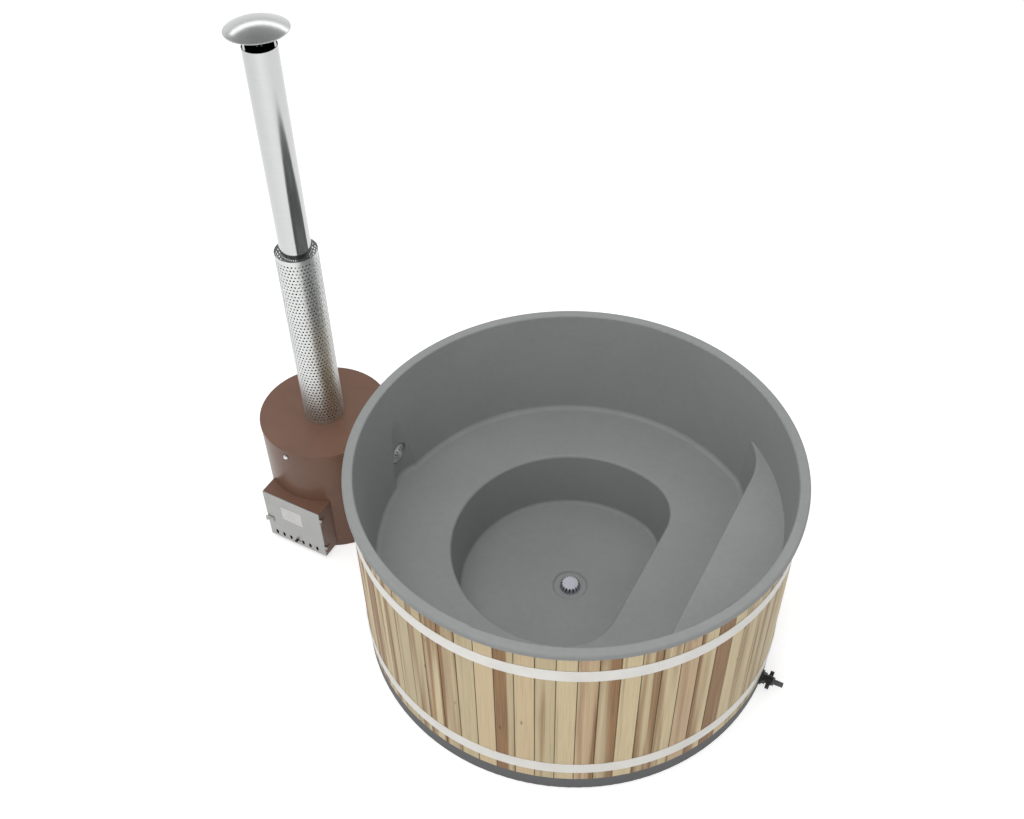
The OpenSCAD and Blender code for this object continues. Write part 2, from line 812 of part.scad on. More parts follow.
module return_fitting() {
    wall_fitting(return_seat_x, return_z);
}

module return_grille() {
    wall_grille(return_seat_x, return_z);
}

// A plastic nut with eight sides
module ring_nut(bore) {
    difference() {
        cylinder(h = nut_t, r = nut_r, $fn = 8);
        translate([0, 0, -1]) cylinder(h = nut_t + 2, r = bore);
    }
}

// Nuts that hold the return fitting, outside the staves, and the valve, inside the base
module fitting_nuts() {
    ledge_x = sqrt(pow(pan_r - ledge_w, 2) - pow(nut_r, 2)) - seat_gap;
    color("dimgray") {
        along_x(-nut_out_x, return_z) ring_nut(barrel_wall_r + seat_gap);
        along_x(ledge_x - nut_t, drain_z) ring_nut(valve_neck_r + seat_gap);
    }
}

module water_hose(z) {
    color("#222222") along_x(-hose_near_x - hose_l, z) tube(hose_l, water_r + hose_t, water_r + pin_gap);
}

module return_hose() {
    water_hose(return_z);
}

module suction_hose() {
    water_hose(drain_z);
}

module hose_clamps() {
    r = water_r + hose_t + pin_gap;
    w = 12;
    color("silver") for (z = water_lines, x = [hose_near_x + 10, hose_near_x + hose_l - 10]) {
        along_x(-x - w / 2, z) difference() {
            union() {
                cylinder(h = w, r = r + 1.5);
                translate([-7, r - 1, 1]) cube([14, 10, w - 2]);
            }
            translate([0, 0, -1]) cylinder(h = w + 2, r = r);
        }
    }
}

// Stove

module stove_base() {
    color("#3a3a3a") on_stove() cylinder(h = 4, r = jacket_r - jacket_t - seat_gap);
}

// A straight passage for the throat, wider by g all round
module throat_form(g, y0, y1) {
    plate(2 * (throat_x + g), y0, y1, throat_z - g, throat_top + g);
}

// Clearance holes in the stove's skin for the two water pipes
module water_line_holes() {
    for (z = water_lines) {
        along_x(stove_x + jacket_r - 40, z) cylinder(h = 60, r = water_r + 2);
    }
}

module stove_jacket() {
    jacket_z1 = stove_h - lid_t;
    color("#6b4a3e") difference() {
        on_stove() tube(jacket_z1, jacket_r, jacket_r - jacket_t);
        on_stove() throat_form(plate_t + 4, -jacket_r - cut, -firebox_r);
        water_line_holes();
        jacket_screw_lines() translate([0, 0, -40]) cylinder(h = 60, r = 4 + seat_gap);
    }
}

module stove_lid() {
    color("#6b4a3e") difference() {
        on_stove() difference() {
            translate([0, 0, stove_h - lid_skirt]) cylinder(h = lid_skirt, r = jacket_r + 2);
            translate([0, 0, stove_h - lid_skirt - cut])
                cylinder(h = lid_skirt - lid_t + cut, r = jacket_r + seat_gap);
            translate([0, 0, stove_h - cut]) cylinder(h = 2 * cut, r = neck_r + 4);
        }
        water_line_holes();
    }
}

// Lays its children's Z axis out through the jacket at each of its three screws
module jacket_screw_lines() {
    on_stove() for (i = [0 : 2]) {
        rotate(-92 + 120 * i) translate([jacket_r, 0, stove_h - 38]) rotate([0, 90, 0]) children();
    }
}

// Round-headed screws that hold the jacket off the vessel
module jacket_screws() {
    head_r = 12;
    color("whitesmoke") jacket_screw_lines() {
        translate([0, 0, vessel_r - jacket_r + seat_gap])
            cylinder(h = jacket_r - vessel_r, r = 4);
        translate([0, 0, seat_gap]) cylinder(h = 3, r = head_r);
        translate([0, 0, seat_gap + 3]) intersection() {
            translate([0, 0, -3]) sphere(r = head_r);
            cylinder(h = head_r, r = head_r);
        }
    }
}

// Closed vessel round the firebox, with the two water stubs towards the tub
module water_vessel() {
    stub_x = -hose_near_x - hose_l + hose_grip;
    color("lightsteelblue") difference() {
        union() {
            on_stove() translate([0, 0, vessel_z]) cylinder(h = vessel_top - vessel_z, r = vessel_r);
            for (z = water_lines) {
                along_x(stove_x, z) cylinder(h = stub_x - stove_x, r = water_r);
            }
        }
        on_stove() {
            translate([0, 0, vessel_z + plate_t])
                cylinder(h = vessel_top - vessel_z - 2 * plate_t, r = vessel_r - plate_t);
            translate([0, 0, vessel_top - cut]) cylinder(h = 2 * cut, r = neck_r + pin_gap);
            throat_form(plate_t + pin_gap, -vessel_r - cut, 0);
        }
        for (z = water_lines) {
            along_x(stove_x + firebox_r, z)
                cylinder(h = stub_x + cut - stove_x - firebox_r, r = fitting_bore_r);
        }
    }
}

module vessel_legs() {
    color("#3a3a3a") on_stove() for (i = [0 : 2]) {
        rotate(30 + 120 * i) translate([vessel_r - 60, 0, 4]) cylinder(h = vessel_z - 4, r = 14);
    }
}

// Round firebox with its throat at the front, a ledge for the grate and the flue's neck
module firebox() {
    color("#4a4a4a") on_stove() difference() {
        union() {
            translate([0, 0, firebox_z]) cylinder(h = firebox_top - firebox_z, r = firebox_r);
            throat_form(plate_t, -frame_y, 0);
            translate([0, 0, firebox_top - plate_t])
                cylinder(h = neck_top - firebox_top + plate_t, r = neck_r);
        }
        difference() {
            union() {
                translate([0, 0, firebox_z + plate_t])
                    cylinder(h = firebox_top - firebox_z - 2 * plate_t, r = firebox_r - plate_t);
                throat_form(0, -frame_y - cut, 0);
            }
            translate([0, 0, grate_h - 6]) difference() {
                tube(6, firebox_r, firebox_r - plate_t - 14);
                plate(2 * throat_x, -firebox_r, -firebox_r / 2, -cut, 2 * cut);
            }
        }
        translate([0, 0, firebox_top - 2 * plate_t]) cylinder(h = neck_top, r = neck_r - 2);
    }
}

module fire_grate() {
    r = firebox_r - plate_t - 2;
    slots = 9;
    pitch = 28;
    color("#333333") on_stove() translate([0, 0, grate_h]) difference() {
        cylinder(h = 12, r = r);
        for (i = [0 : slots - 1]) {
            x = (i - (slots - 1) / 2) * pitch;
            l = 2 * sqrt(pow(r - 22, 2) - pow(abs(x) + 6, 2));
            translate([x - 6, -l / 2, -1]) cube([12, l, 14]);
        }
    }
}

// Steel surround that joins the jacket to the door, curved where it meets the jacket
module stoke_box() {
    z1 = door_z + door_h;
    front = door_y - door_t - seat_gap;
    color("#6b4a3e") on_stove() {
        difference() {
            plate(door_w, -front, -jacket_r / 2, door_z, z1);
            plate(door_w - 2 * box_t, -door_y - cut, 0, door_z + box_t, z1 - box_t);
            cylinder(h = stove_h, r = jacket_r + seat_gap);
        }
        for (z = hinge_heights()) {
            translate([hinge_x, hinge_y, z]) tube(knuckle_h, hinge_r, hinge_pin_r + pin_gap);
            translate([door_w / 2, -front, z]) difference() {
                cube([3, 34, knuckle_h]);
                translate([hinge_x - door_w / 2, hinge_y + front, -1])
                    cylinder(h = knuckle_h + 2, r = hinge_pin_r + pin_gap);
            }
        }
    }
}

function hinge_heights() = [door_z + 36, door_z + door_h - 36 - 2 * knuckle_h];

// Plate that closes the stoke box round the throat
module front_frame() {
    color("#4a4a4a") on_stove() difference() {
        plate(door_w - 2 * box_t - 2 * seat_gap, -frame_y - 3, -frame_y, door_z + box_t + seat_gap,
            door_z + door_h - box_t - seat_gap);
        throat_form(0, -frame_y - cut, -frame_y + cut);
    }
}

module hinge_pins() {
    color("silver") on_stove() for (z = hinge_heights()) {
        translate([hinge_x, hinge_y, z - 2]) {
            cylinder(h = 2 * knuckle_h + 4.6, r = hinge_pin_r);
            cylinder(h = 2 - seat_gap, r = hinge_r - 0.5);
            translate([0, 0, 2 * knuckle_h + 2 + 2 * seat_gap]) cylinder(h = 2, r = hinge_r - 0.5);
        }
    }
}

// Six upright slots with round ends, on both sides of the knob
module air_holes(y0, y1) {
    r = air_hole_w / 2;
    end_z = air_hole_h / 2 - r;
    for (side = [-1, 1], i = [0 : 2]) {
        translate([knob_x + side * (air_first + i * air_pitch), 0, air_z]) {
            plate(air_hole_w, y0, y1, -end_z, end_z);
            for (z = [-end_z, end_z]) {
                translate([0, y0, z]) rotate([-90, 0, 0]) cylinder(h = y1 - y0, r = r);
            }
        }
    }
}

module stoke_door() {
    color("lightgray") on_stove() {
        difference() {
            plate(door_w - 1, -door_y, -door_y + door_t, door_z, door_z + door_h);
            air_holes(-door_y - cut, -door_y + door_t + cut);
            translate([knob_x - 4, -door_y - cut, air_z - 4]) cube([slider_travel + 8, 2 * cut, 8]);
        }
        for (z = hinge_heights()) {
            translate([0, 0, z + knuckle_h + seat_gap]) {
                translate([hinge_x, hinge_y, 0]) tube(knuckle_h, hinge_r, hinge_pin_r + pin_gap);
                difference() {
                    translate([door_w / 2 - 1, -door_y, 0])
                        cube([hinge_x - door_w / 2 + 1, door_t, knuckle_h]);
                    translate([hinge_x, hinge_y, -1]) cylinder(h = knuckle_h + 2, r = hinge_r - 1);
                }
            }
        }
    }
}

// Heat shield that hangs behind the door, inside the throat
module door_baffle() {
    color("#4a4a4a") on_stove() plate(2 * throat_x - 16, -door_y + 22, -door_y + 24,
        throat_z + 44, throat_top - 8);
}

module baffle_spacers() {
    z0 = throat_z + 60;
    color("silver") on_stove() for (x = [-80, 80], z = [z0, throat_top - 28]) {
        translate([x, -door_y + door_t, z]) rotate([-90, 0, 0]) cylinder(h = 18, r = 5);
    }
}

// Bent tab at the door's free edge, for a gloved hand
module door_handle() {
    x0 = -door_w / 2 - 6;
    color("gainsboro") on_stove() translate([0, -door_y - seat_gap, door_z + handle_up]) {
        linear_extrude(handle_h) polygon([[x0 + 42, 0], [x0 + 42, -3], [x0 + 13, -3], [x0 + 3, -12],
            [x0, -9.5], [x0 + 12, 0]]);
        for (x = [x0 + 22, x0 + 34]) {
            translate([x, -2.9, handle_h / 2]) rotate([90, 0, 0]) cylinder(h = 1.9, r = 3);
        }
    }
}

module label_plate() {
    color("whitesmoke") on_stove() translate([label_x, 0, door_z + label_up])
        plate(label_w, -door_y - 1, -door_y - 0.05, 0, label_h);
}

// Two rails that carry the air slider behind the door
module slider_rails() {
    w = door_w - 2 * box_t - 7;
    gap = air_hole_h / 2 + 3 + seat_gap;
    y0 = -door_y + door_t;
    color("gray") on_stove() for (side = [-1, 1]) {
        translate([-w / 2, 0, air_z]) mirror([0, 0, side < 0 ? 1 : 0])
            rotate([90, 0, 90]) linear_extrude(w) polygon([
                [y0, gap], [y0, gap + 4], [y0 + slider_t + 3, gap + 4],
                [y0 + slider_t + 3, gap - 2], [y0 + slider_t + 1, gap - 2], [y0 + slider_t + 1, gap]
            ]);
    }
}

module air_slider() {
    // Long enough to cover the outer holes at either end of its travel
    reach = air_first + 2 * air_pitch + air_hole_w / 2 + 3;
    y0 = -door_y + door_t + seat_gap;
    color("silver") on_stove() difference() {
        translate([knob_x - reach - slider_travel, y0, air_z - air_hole_h / 2 - 3])
            cube([2 * reach + slider_travel, slider_t, air_hole_h + 6]);
        air_holes(y0 - 1, y0 + slider_t + 1);
    }
}

module slider_knob() {
    y0 = -door_y + door_t + seat_gap;
    color("#2a2a2a") on_stove() translate([knob_x, y0, air_z]) rotate([90, 0, 0]) {
        cylinder(h = 8, r = 3.5);
        translate([0, 0, door_t + 2 * seat_gap]) cylinder(h = 12, r1 = 6, r2 = 8);
    }
}

// Flue

module flue_collar() {
    color("silver") on_stove() translate([0, 0, stove_h]) tube(collar_t, collar_r, neck_r + pin_gap);
}

module lower_flue_pipe() {
    z0 = stove_h + collar_t;
    color("silver") on_stove() translate([0, 0, z0]) tube(flue_joint - z0, flue_r, flue_r - flue_t);
}

// The upper pipe's socket slips over the lower pipe, inside the heat guard
module upper_flue_pipe() {
    z0 = flue_joint - socket_l;
    socket_in = flue_r + seat_gap;
    color("silver") on_stove() rotate_extrude() polygon([
        [socket_in, z0], [socket_in + flue_t, z0], [socket_in + flue_t, flue_joint],
        [flue_r, flue_joint + 4], [flue_r, flue_top], [flue_r - flue_t, flue_top],
        [flue_r - flue_t, flue_joint + 2], [socket_in, flue_joint + 0.6]
    ]);
}

module heat_guard() {
    rows = floor((guard_top - guard_z - 20) / guard_pitch);
    start = (guard_top - guard_z - (rows - 1) * guard_pitch) / 2;
    color("lightgray") on_stove() translate([0, 0, guard_z]) difference() {
        tube(guard_top - guard_z, guard_r, guard_r - guard_t);
        // Every hole has a short cutter of its own, in staggered rows
        for (row = [0 : rows - 1], i = [0 : guard_columns - 1]) {
            rotate(360 / guard_columns * (i + (row % 2) / 2))
                translate([guard_r - guard_t - 3, 0, start + row * guard_pitch])
                    rotate([0, 90, 0]) cylinder(h = guard_t + 6, r = guard_hole_r, $fn = 16);
        }
    }
}

// Studs that hold the guard off the pipe, near its top and foot
module guard_spacers() {
    l = guard_r - guard_t - flue_r - 2 * pin_gap;
    color("silver") on_stove() for (z = [guard_z + 40, guard_top - 22], i = [0 : 2]) {
        rotate(72 + 120 * i) translate([flue_r + pin_gap, 0, z]) rotate([0, 90, 0]) cylinder(h = l, r = 3);
    }
}

module rain_cap() {
    bead_r = 2;
    color("silver") on_stove() rotate_extrude() {
        intersection() {
            translate([0, dome_z]) difference() {
                circle(r = dome_r);
                circle(r = dome_r - flue_t);
            }
            translate([0, cap_z]) square([cap_r - bead_r, cap_dome + 1]);
        }
        translate([cap_r - bead_r, cap_z]) circle(r = bead_r);
    }
}

// Ring inside the flue's top, with three straps up to the dome
module cap_bracket() {
    color("silver") on_stove() {
        translate([0, 0, flue_top - 38]) tube(24, bracket_r, bracket_r - flue_t);
        intersection() {
            for (i = [0 : 2]) {
                rotate(12 + 120 * i) {
                    translate([bracket_r - strap_t, -strap_w / 2, flue_top - 38])
                        cube([strap_t - 0.4, strap_w, cap_z + cap_dome - flue_top + 38]);
                    translate([bracket_r - strap_t, -3, flue_top + seat_gap]) cube([strap_t + 3, 6, 2]);
                }
            }
            translate([0, 0, dome_z]) sphere(r = dome_r - flue_t - seat_gap);
        }
    }
}

liner();
wall_staves();
inlet_staves();
upper_hoop();
lower_hoop();
hoop_bolts();
base_pan();
floor_bearers();
floor_deck();
bench_ribs();
drain_strainer();
drain_body();
drain_nut();
drain_pipe();
valve_body();
valve_wing();
hose_tail();
return_fitting();
return_grille();
fitting_nuts();
drain_tee();
suction_pipe();
return_hose();
suction_hose();
hose_clamps();
stove_base();
stove_jacket();
stove_lid();
jacket_screws();
water_vessel();
vessel_legs();
firebox();
fire_grate();
stoke_box();
front_frame();
hinge_pins();
stoke_door();
door_baffle();
baffle_spacers();
door_handle();
label_plate();
slider_rails();
air_slider();
slider_knob();
flue_collar();
lower_flue_pipe();
upper_flue_pipe();
heat_guard();
guard_spacers();
rain_cap();
cap_bracket();
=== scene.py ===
"""Looks of a round wood-fired hot tub: moulded liner, stave wall, stove, guarded flue."""

import math

import bpy
from bpy.props import FloatProperty, FloatVectorProperty, IntProperty, PointerProperty
from bpy.types import Operator, Panel, PropertyGroup
from mathutils import Matrix, Vector


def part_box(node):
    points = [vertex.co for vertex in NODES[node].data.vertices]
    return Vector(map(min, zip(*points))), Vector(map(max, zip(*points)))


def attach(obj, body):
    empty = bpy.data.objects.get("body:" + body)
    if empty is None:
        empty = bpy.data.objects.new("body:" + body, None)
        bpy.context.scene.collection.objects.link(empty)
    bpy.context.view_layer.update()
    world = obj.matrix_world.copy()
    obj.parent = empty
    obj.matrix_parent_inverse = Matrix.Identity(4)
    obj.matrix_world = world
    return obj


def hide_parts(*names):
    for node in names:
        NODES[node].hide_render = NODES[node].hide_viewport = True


bl_info = {
    "name": "Hot Tub Looks",
    "version": (1, 0, 0),
    "blender": (4, 5, 0),
    "location": "View3D > Sidebar > Hot Tub",
    "description": "Dresses the hot tub's solids and lights them",
    "category": "Object",
}

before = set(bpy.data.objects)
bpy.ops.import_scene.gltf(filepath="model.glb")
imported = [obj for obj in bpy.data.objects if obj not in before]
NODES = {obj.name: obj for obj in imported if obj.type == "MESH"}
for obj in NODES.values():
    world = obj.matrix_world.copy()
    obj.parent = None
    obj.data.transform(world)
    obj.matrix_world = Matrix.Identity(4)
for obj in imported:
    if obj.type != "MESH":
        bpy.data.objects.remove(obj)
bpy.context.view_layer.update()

# Heat guard: thickness of its sheet, and the plain strip above and below the holes, in metres.
# Edges that turn by more than the angle stay sharp.
GUARD_SHEET = 0.001
GUARD_MARGIN = 0.018
GUARD_SHARP_ANGLE = math.radians(40)
HOLE_SIDES = 8

# Floor: its side and how far it lies below the object, in metres, its own grey, and the light
# that it adds to that for the rays that see it. Together they show as white.
FLOOR_SIDE = 60
FLOOR_DROP = 0.001
FLOOR_GREY = 0.64
FLOOR_GLOW = 0.62
ROOM_LIGHT = 0.6

# Lamps: name, place, width, height, power, and whether metal shows them. All point at one spot.
LAMPS = (
    ("overhead_softbox", (-0.4, -1.0, 6.3), 4.0, 4.0, 135.0, False),
    ("strip_light", (-3.15, 3.35, 5.6), 7.0, 1.1, 40.0, True),
    ("front_softbox", (1.5, -6.0, 3.6), 3.0, 3.0, 85.0, False),
)
LAMP_TARGET = Vector((0.0, 0.0, 0.5))

# Camera, solved from the ellipses of the rim and the base and from the upright edges: its place
# in metres, its angles in degrees, and its lens and sensor in millimetres
CAMERA_PLACE = (1.3289, -2.9432, 4.4367)
CAMERA_TURN = 28.772
CAMERA_TILT = 45.543
CAMERA_ROLL = -1.108
CAMERA_LENS = 40.546
CAMERA_SENSOR = 36.0
CAMERA_REACH = 200.0


# Colours ------------------------------------------------------------------------------------


def linear(hex_colour):
    """An sRGB hex colour such as "8a8d8c" as the linear RGBA that Blender uses."""
    out = []
    for i in (0, 2, 4):
        c = int(hex_colour[i : i + 2], 16) / 255
        out.append(c / 12.92 if c <= 0.04045 else ((c + 0.055) / 1.055) ** 2.4)
    return (*out, 1.0)


def grey(value):
    """A grey of this linear value."""
    return (value, value, value, 1.0)


def shade(colour, factor):
    """A linear colour made lighter or darker."""
    return (*[min(1.0, c * factor) for c in colour[:3]], 1.0)


# Settings -----------------------------------------------------------------------------------


def length_property(name, description, default, low, high):
    return FloatProperty(
        name=name, description=description, default=default, min=low, max=high,
        subtype="DISTANCE", unit="LENGTH", precision=4,
    )


def colour_property(name, description, hex_colour):
    return FloatVectorProperty(
        name=name, description=description, subtype="COLOR", size=4, min=0, max=1,
        default=linear(hex_colour),
    )


class HotTubSizes(PropertyGroup):
    """Sizes of the details that the solids leave to the looks."""

    hole_pitch: length_property(
        "Hole pitch", "Distance between two holes of a row in the heat guard", 0.0155, 0.01, 0.03
    )
    row_pitch: length_property(
        "Row pitch", "Distance between two rows of holes in the heat guard", 0.0175, 0.01, 0.03
    )
    hole_diameter: length_property(
        "Hole diameter", "Diameter of a hole in the heat guard", 0.009, 0.003, 0.02
    )
    stave_count: IntProperty(
        name="Staves", description="Number of staves in the wall", default=74, min=40, max=120
    )


class HotTubColours(PropertyGroup):
    """Colours of the visible materials."""

    liner: colour_property("Liner", "Through-coloured grey of the moulded liner", "8c8f8e")
    sapwood: colour_property("Sapwood", "Pale wood at the edge of a board", "d6c49d")
    heartwood: colour_property("Heartwood", "Brown streaks of heartwood", "8e6a43")
    hoop: colour_property("Hoops", "Off-white coating of the hoops", "ebe9e4")
    base: colour_property("Base", "Dark grey base under the staves", "5c5d5f")
    paint: colour_property("Stove paint", "Brown paint of the stove", "76594b")
    stainless: colour_property("Stainless", "Sheet steel of the flue and cap", "c6c8c7")


# Material building --------------------------------------------------------------------------


def feed(tree, node, links):
    """Joins inputs of a node to what feeds them, given as (node, output)."""
    for name, (source, output) in links.items():
        tree.links.new(source.outputs[output], node.inputs[name])


def add(tree, kind, links=None, stops=(), **settings):
    """Adds a node of this kind. Settings name its properties, or its inputs by in_ and name or
    number; links are those of feed; stops are a colour ramp's positions and colours."""
    node = tree.nodes.new(kind)
    for key, value in settings.items():
        if key.startswith("in_"):
            name = key[3:]
            socket = node.inputs[int(name) if name.isdigit() else name.replace("_", " ")]
            socket.default_value = value
        else:
            setattr(node, key, value)
    if stops:
        elements = node.color_ramp.elements
        while len(elements) < len(stops):
            elements.new(0.5)
        for element, (position, colour) in zip(elements, stops):
            element.position = position
            element.color = colour
    feed(tree, node, links or {})
    return node


def empty_tree(owner):
    """The node tree of a material or world, with nothing in it."""
    owner.use_nodes = True
    owner.node_tree.nodes.clear()
    return owner.node_tree


def new_material(name):
    """A material, its tree, its shader, which is joined to the output, and what gives a
    texture its place on the object in metres. A noise of scale 40 has 40 cells a metre."""
    material = bpy.data.materials.new(name)
    tree = empty_tree(material)
    shader = add(tree, "ShaderNodeBsdfPrincipled")
    add(tree, "ShaderNodeOutputMaterial", {"Surface": (shader, "BSDF")})
    return material, tree, shader, (add(tree, "ShaderNodeTexCoord"), "Object")


def seen_rays(tree):
    """1 for the rays that show a surface as background: to the camera, off metal, through
    glass."""
    path = add(tree, "ShaderNodeLightPath")
    seen = add(
        tree, "ShaderNodeMath",
        {0: (path, "Is Camera Ray"), 1: (path, "Is Glossy Ray")}, operation="MAXIMUM",
    )
    return add(
        tree, "ShaderNodeMath",
        {0: (seen, 0), 1: (path, "Is Transmission Ray")}, operation="MAXIMUM",
    )


# Materials ----------------------------------------------------------------------------------


def moulded_polyethylene(name, colour, roughness):
    """Rotation-moulded polyethylene: a soft satin skin with a faint pebble and slow waves
    where the wall cooled, so highlights are broad and never crisp."""
    material, tree, shader, place = new_material(name)
    # Clouds of 330 mm with a mottle of 25 mm over them
    cloud = add(tree, "ShaderNodeTexNoise", {"Vector": place}, in_Scale=3.0, in_Detail=2.0)
    mottle = add(tree, "ShaderNodeTexNoise", {"Vector": place}, in_Scale=40.0, in_Detail=4.0)
    both = add(
        tree, "ShaderNodeMath", {0: (cloud, "Fac"), 1: (mottle, "Fac")}, operation="ADD"
    )
    half = add(tree, "ShaderNodeMath", {0: (both, 0)}, operation="MULTIPLY", in_1=0.5)
    tone = add(
        tree, "ShaderNodeValToRGB", {"Fac": (half, 0)},
        stops=[(0.38, shade(colour, 0.96)), (0.5, colour), (0.62, shade(colour, 1.035))],
    )
    rough = add(
        tree, "ShaderNodeMapRange", {"Value": (mottle, "Fac")},
        in_3=roughness - 0.06, in_4=roughness + 0.06,
    )
    # Pebble of 2.5 mm, a little coarser than the real skin so that it still shows
    pebble = add(tree, "ShaderNodeTexNoise", {"Vector": place}, in_Scale=400.0, in_Detail=2.0)
    skin = add(
        tree, "ShaderNodeBump", {"Height": (pebble, "Fac")},
        in_Distance=0.0002, in_Strength=0.35,
    )
    # Waves 170 mm long under it
    wave = add(tree, "ShaderNodeTexNoise", {"Vector": place}, in_Scale=6.0)
    relief = add(
        tree, "ShaderNodeBump", {"Height": (wave, "Fac"), "Normal": (skin, "Normal")},
        in_Distance=0.002, in_Strength=0.25,
    )
    shader.inputs["IOR"].default_value = 1.5
    feed(tree, shader, {
        "Base Color": (tone, "Color"), "Roughness": (rough, 0), "Normal": (relief, "Normal"),
    })
    return material


def board_space(tree, place, count):
    """Where a point lies on its own board, for this many boards round the tub: how far across
    it from 0 to 1, the board's own random values, and a space for its patterns, in board
    widths (79 mm) across and metres along, that no two boards share."""
    xyz = add(tree, "ShaderNodeSeparateXYZ", {"Vector": place})
    turn = add(tree, "ShaderNodeMath", {0: (xyz, "Y"), 1: (xyz, "X")}, operation="ARCTAN2")
    along = add(
        tree, "ShaderNodeMath", {0: (turn, 0)}, operation="MULTIPLY", in_1=count / (2 * math.pi)
    )
    board = add(tree, "ShaderNodeMath", {0: (along, 0)}, operation="FLOOR")
    across = add(tree, "ShaderNodeMath", {0: (along, 0), 1: (board, 0)}, operation="SUBTRACT")
    own = add(tree, "ShaderNodeTexWhiteNoise", {"W": (board, 0)}, noise_dimensions="1D")
    jump = add(tree, "ShaderNodeMath", {0: (board, 0)}, operation="MULTIPLY", in_1=7.31)
    moved = add(tree, "ShaderNodeMath", {0: (across, 0), 1: (jump, 0)}, operation="ADD")
    space = add(
        tree, "ShaderNodeCombineXYZ", {"X": (moved, 0), "Y": (own, "Value"), "Z": (xyz, "Z")}
    )
    return across, own, space


def spruce_boards(name, sapwood, heartwood, count):
    """Planed and oiled softwood boards: each has its own tone, pale sapwood, brown streaks of
    heartwood along the grain, fine growth lines, a few knots and, on both sides, a dark seam
    line with painted shade of the gap between boards."""
    material, tree, shader, place = new_material(name)
    across, own, space = board_space(tree, place, count)

    # Heartwood: soft-edged bands, one or two across a board and as long as the board. Some
    # boards have much of it and some have none.
    band_at = add(
        tree, "ShaderNodeMapping", {"Vector": (space, 0)}, in_Scale=(1.6, 3.0, 0.5)
    )
    band = add(
        tree, "ShaderNodeTexNoise", {"Vector": (band_at, 0)},
        in_Scale=1.0, in_Detail=2.5, in_Roughness=0.4, in_Distortion=0.35,
    )
    own_xyz = add(tree, "ShaderNodeSeparateXYZ", {"Vector": (own, "Color")})
    share = add(
        tree, "ShaderNodeMapRange", {"Value": (own_xyz, "Y")}, in_3=-0.13, in_4=0.16
    )
    amount = add(tree, "ShaderNodeMath", {0: (band, "Fac"), 1: (share, 0)}, operation="ADD")
    heart = add(
        tree, "ShaderNodeMapRange", {"Value": (amount, 0)},
        interpolation_type="SMOOTHSTEP", in_1=0.49, in_2=0.68,
    )

    # Growth lines: 3 mm apart across the board, drawn out along it
    line_at = add(
        tree, "ShaderNodeMapping", {"Vector": (space, 0)}, in_Scale=(9.0, 1.0, 1.2)
    )
    lines = add(
        tree, "ShaderNodeTexNoise", {"Vector": (line_at, 0)},
        in_Scale=2.6, in_Detail=5.0, in_Roughness=0.62, in_Distortion=0.35,
    )
    tone = add(
        tree, "ShaderNodeValToRGB", {"Fac": (own, "Value")},
        stops=[(0.0, shade(sapwood, 0.86)), (0.35, sapwood), (0.7, shade(sapwood, 1.07)),
               (1.0, linear("c4a483"))],
    )
    grain = add(
        tree, "ShaderNodeValToRGB", {"Fac": (lines, "Fac")},
        stops=[(0.36, grey(0.80)), (0.5, grey(0.97)), (0.64, grey(1.0))],
    )
    pale = add(
        tree, "ShaderNodeMix", {6: (tone, "Color"), 7: (grain, "Color")},
        data_type="RGBA", blend_type="MULTIPLY", in_0=0.9,
    )
    brown = add(
        tree, "ShaderNodeValToRGB", {"Fac": (lines, "Fac")},
        stops=[(0.3, shade(heartwood, 0.62)), (0.5, heartwood), (0.72, shade(heartwood, 1.35))],
    )
    wood = add(
        tree, "ShaderNodeMix", {0: (heart, 0), 6: (pale, 2), 7: (brown, "Color")},
        data_type="RGBA",
    )

    # Knots: small, dark, stretched a little along the board
    knot_at = add(
        tree, "ShaderNodeMapping", {"Vector": (space, 0)}, in_Scale=(1.1, 1.0, 4.5)
    )
    knot = add(
        tree, "ShaderNodeTexVoronoi", {"Vector": (knot_at, 0)}, in_Scale=1.0, in_Randomness=1.0
    )
    knots = add(
        tree, "ShaderNodeValToRGB", {"Fac": (knot, "Distance")},
        stops=[(0.03, grey(0.35)), (0.055, grey(0.62)), (0.085, grey(1.0))],
    )
    knotty = add(
        tree, "ShaderNodeMix", {6: (wood, 2), 7: (knots, "Color")},
        data_type="RGBA", blend_type="MULTIPLY", in_0=0.85,
    )

    # Seam: each board is dark for about 1.5 mm at both edges, a dark joint line with painted
    # shade of the gap between boards
    middle = add(tree, "ShaderNodeMath", {0: (across, 0)}, operation="SUBTRACT", in_1=0.5)
    side = add(tree, "ShaderNodeMath", {0: (middle, 0)}, operation="ABSOLUTE")
    seam_shade = add(
        tree, "ShaderNodeValToRGB", {"Fac": (side, 0)},
        stops=[(0.45, grey(1.0)), (0.475, grey(0.82)), (0.49, grey(0.25))],
    )
    # Multiplies the painted seam shade into the board colour
    seam_shaded = add(
        tree, "ShaderNodeMix", {6: (knotty, 2), 7: (seam_shade, "Color")},
        data_type="RGBA", blend_type="MULTIPLY", in_0=1.0,
    )

    # The planed face keeps the growth lines and fibres 1.3 mm apart
    rough = add(
        tree, "ShaderNodeMapRange", {"Value": (lines, "Fac")}, in_3=0.62, in_4=0.48
    )
    ridges = add(
        tree, "ShaderNodeBump", {"Height": (lines, "Fac")}, in_Distance=0.0006, in_Strength=0.6
    )
    fibre_at = add(
        tree, "ShaderNodeMapping", {"Vector": (space, 0)}, in_Scale=(60.0, 1.0, 7.0)
    )
    fibre = add(
        tree, "ShaderNodeTexNoise", {"Vector": (fibre_at, 0)}, in_Scale=1.0, in_Detail=3.0
    )
    relief = add(
        tree, "ShaderNodeBump", {"Height": (fibre, "Fac"), "Normal": (ridges, "Normal")},
        in_Distance=0.0002, in_Strength=0.5,
    )
    shader.inputs["IOR"].default_value = 1.45
    feed(tree, shader, {
        "Base Color": (seam_shaded, 2), "Roughness": (rough, 0), "Normal": (relief, "Normal"),
    })
    return material


